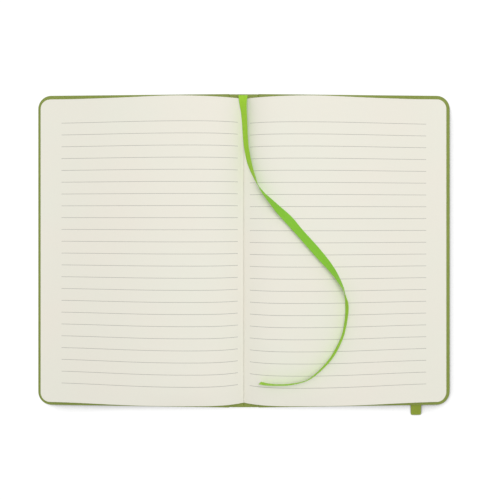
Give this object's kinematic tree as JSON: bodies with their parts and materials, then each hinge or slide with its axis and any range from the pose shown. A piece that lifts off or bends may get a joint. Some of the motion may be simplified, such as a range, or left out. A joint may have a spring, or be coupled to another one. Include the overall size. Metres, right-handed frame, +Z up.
{
  "type": "hard-cover notebook lying open",
  "caption": "Hard-cover ruled notebook lying open at its middle, with a ribbon bookmark and an elastic band on the back cover.",
  "frame": {"origin": "middle of the open notebook's footprint, on the surface that it lies on", "axes": "+X across the open book towards the back cover's fore-edge, +Y towards the head, +Z up from the surface"},
  "size_m": [0.28, 0.2176, 0.0242],
  "materials": {
    "page_paper": "smooth uncoated cream paper",
    "ruling_ink": "thin grey printed lines",
    "lining_cloth": "open cotton cloth and paper",
    "board_card": "grey-brown binding board",
    "cover_skin": "olive green soft-grained imitation leather",
    "endpaper": "smooth cream endpaper",
    "ribbon_satin": "lime green woven satin ribbon",
    "band_elastic": "olive green ribbed elastic"
  },
  "bodies": {
    "block": {"text_block": "page_paper", "ruled_lines": "ruling_ink", "spine_lining": "lining_cloth", "spine_liner": "board_card", "spine_skin": "cover_skin", "ribbon_bookmark": "ribbon_satin", "ribbon_glued_end": "ribbon_satin"},
    "front_cover": {"front_board": "board_card", "front_cover_skin": "cover_skin", "front_pastedown": "endpaper"},
    "back_cover": {"back_board": "board_card", "back_cover_skin": "cover_skin", "back_pastedown": "endpaper", "elastic_band": "band_elastic"}
  },
  "joints": [
    {"name": "front_cover_hinge", "type": "hinge", "parent": "block", "child": "front_cover", "pos_m": [-0.007, 0.00375, 0.00683], "axis": [0, -1, 0], "range_deg": [0, 85]},
    {"name": "back_cover_hinge", "type": "hinge", "parent": "block", "child": "back_cover", "pos_m": [0.007, 0.00375, 0.00683], "axis": [0, 1, 0], "range_deg": [0, 85]}
  ]
}
